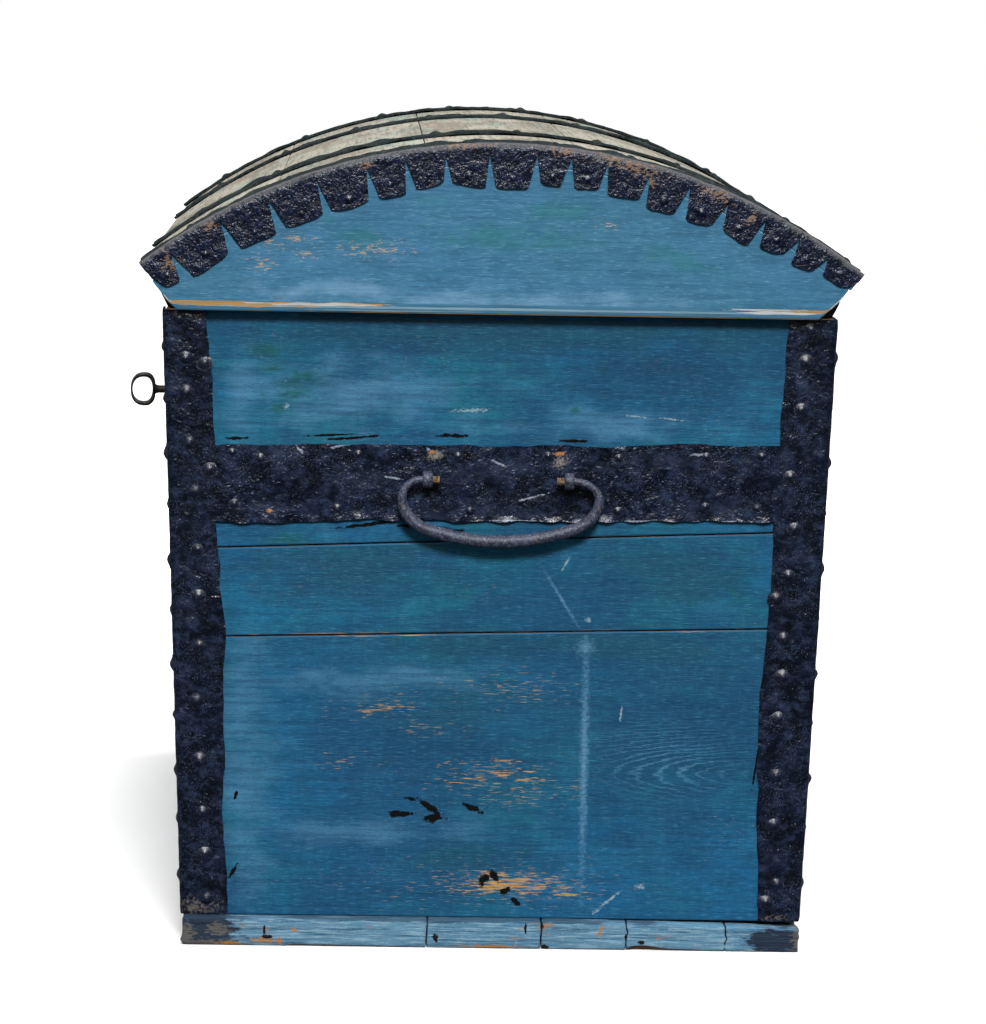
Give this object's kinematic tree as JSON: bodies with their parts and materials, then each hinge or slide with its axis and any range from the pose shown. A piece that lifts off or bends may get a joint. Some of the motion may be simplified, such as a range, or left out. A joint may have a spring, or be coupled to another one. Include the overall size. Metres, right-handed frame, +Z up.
{
  "type": "blanket chest",
  "caption": "Dome-lidded blue-painted pine blanket chest bound with black iron bands, with bail handles on its ends, a lock with its key and strap hinges.",
  "frame": {"origin": "on the floor, at the centre of the chest's foot, on the underside of the middle batten", "axes": "+X along the chest's length, -Y to the front with the lock, +Y to the back with the hinges, +Z up"},
  "size_m": [1.1268, 0.6519, 0.6993],
  "materials": {
    "blue_painted_pine": "matt worn oil paint",
    "weathered_paint_wood": "weathered, thin paint",
    "bare_pine": "bare aged pine",
    "black_painted_iron": "thick glossy black paint over hammered iron",
    "worn_iron": "dark worn iron"
  },
  "bodies": {
    "chest_body": {"back_board_low": "blue_painted_pine", "back_board_middle": "blue_painted_pine", "back_board_top": "blue_painted_pine", "back_hinge_strap_left": "black_painted_iron", "back_hinge_strap_right": "black_painted_iron", "back_strap_nails": "black_painted_iron", "bail_eyes_left": "black_painted_iron", "bail_eyes_right": "black_painted_iron", "bottom_board_back": "bare_pine", "bottom_board_front": "bare_pine", "bottom_board_middle": "bare_pine", "corner_band_back_left": "black_painted_iron", "corner_band_back_right": "black_painted_iron", "corner_band_front_left": "black_painted_iron", "corner_band_front_right": "black_painted_iron", "corner_nails": "black_painted_iron", "end_band_left": "black_painted_iron", "end_band_nails": "black_painted_iron", "end_band_right": "black_painted_iron", "end_board_left_low": "blue_painted_pine", "end_board_left_middle": "blue_painted_pine", "end_board_left_top": "blue_painted_pine", "end_board_right_low": "blue_painted_pine", "end_board_right_middle": "blue_painted_pine", "end_board_right_top": "blue_painted_pine", "foot_batten_left": "blue_painted_pine", "foot_batten_middle": "blue_painted_pine", "foot_batten_right": "blue_painted_pine", "front_band_left": "black_painted_iron", "front_band_nails": "black_painted_iron", "front_band_right": "black_painted_iron", "front_board_low": "blue_painted_pine", "front_board_middle": "blue_painted_pine", "front_board_top": "blue_painted_pine", "hinge_pin_left": "worn_iron", "hinge_pin_right": "worn_iron", "lock_case": "worn_iron", "lock_plate": "black_painted_iron"},
    "lid": {"lid_catch": "worn_iron", "lid_edge_nails_left": "black_painted_iron", "lid_edge_nails_right": "black_painted_iron", "lid_edge_strap_left": "black_painted_iron", "lid_edge_strap_right": "black_painted_iron", "lid_gable_left": "blue_painted_pine", "lid_gable_right": "blue_painted_pine", "lid_hinge_strap_left": "black_painted_iron", "lid_hinge_strap_right": "black_painted_iron", "lid_rail_back": "blue_painted_pine", "lid_rail_front": "blue_painted_pine", "lid_stave_back": "weathered_paint_wood", "lid_stave_back_shoulder": "weathered_paint_wood", "lid_stave_crown": "weathered_paint_wood", "lid_stave_front": "weathered_paint_wood", "lid_stave_front_shoulder": "weathered_paint_wood", "lid_strap_nails": "black_painted_iron"},
    "key": {"key": "worn_iron"},
    "lock_bolt": {"lock_bolt": "worn_iron"},
    "bail_right": {"bail_right": "black_painted_iron"},
    "bail_left": {"bail_left": "black_painted_iron"}
  },
  "joints": [
    {"name": "lid_hinge", "type": "hinge", "parent": "chest_body", "child": "lid", "pos_m": [0, 0.2949, 0.549], "axis": [-1, 0, 0], "range_deg": [0, 105]},
    {"name": "key_turn", "type": "hinge", "parent": "chest_body", "child": "key", "pos_m": [0, -0.26148, 0.436], "axis": [0, 0.9992, 0.04], "range_deg": [0, 360]},
    {"name": "bolt_slide", "type": "slide", "parent": "chest_body", "child": "lock_bolt", "axis": [1, 0, 0], "range_m": [0, 0.018]},
    {"name": "bail_right_swing", "type": "hinge", "parent": "chest_body", "child": "bail_right", "pos_m": [0.553, 0, 0.407], "axis": [0, -1, 0], "range_deg": [0, 165]},
    {"name": "bail_left_swing", "type": "hinge", "parent": "chest_body", "child": "bail_left", "pos_m": [-0.553, 0, 0.407], "axis": [0, 1, 0], "range_deg": [0, 165]}
  ],
  "couplings": [
    {"joint": "key_turn", "follows": "bolt_slide", "rad_per_m": 349.06}
  ]
}
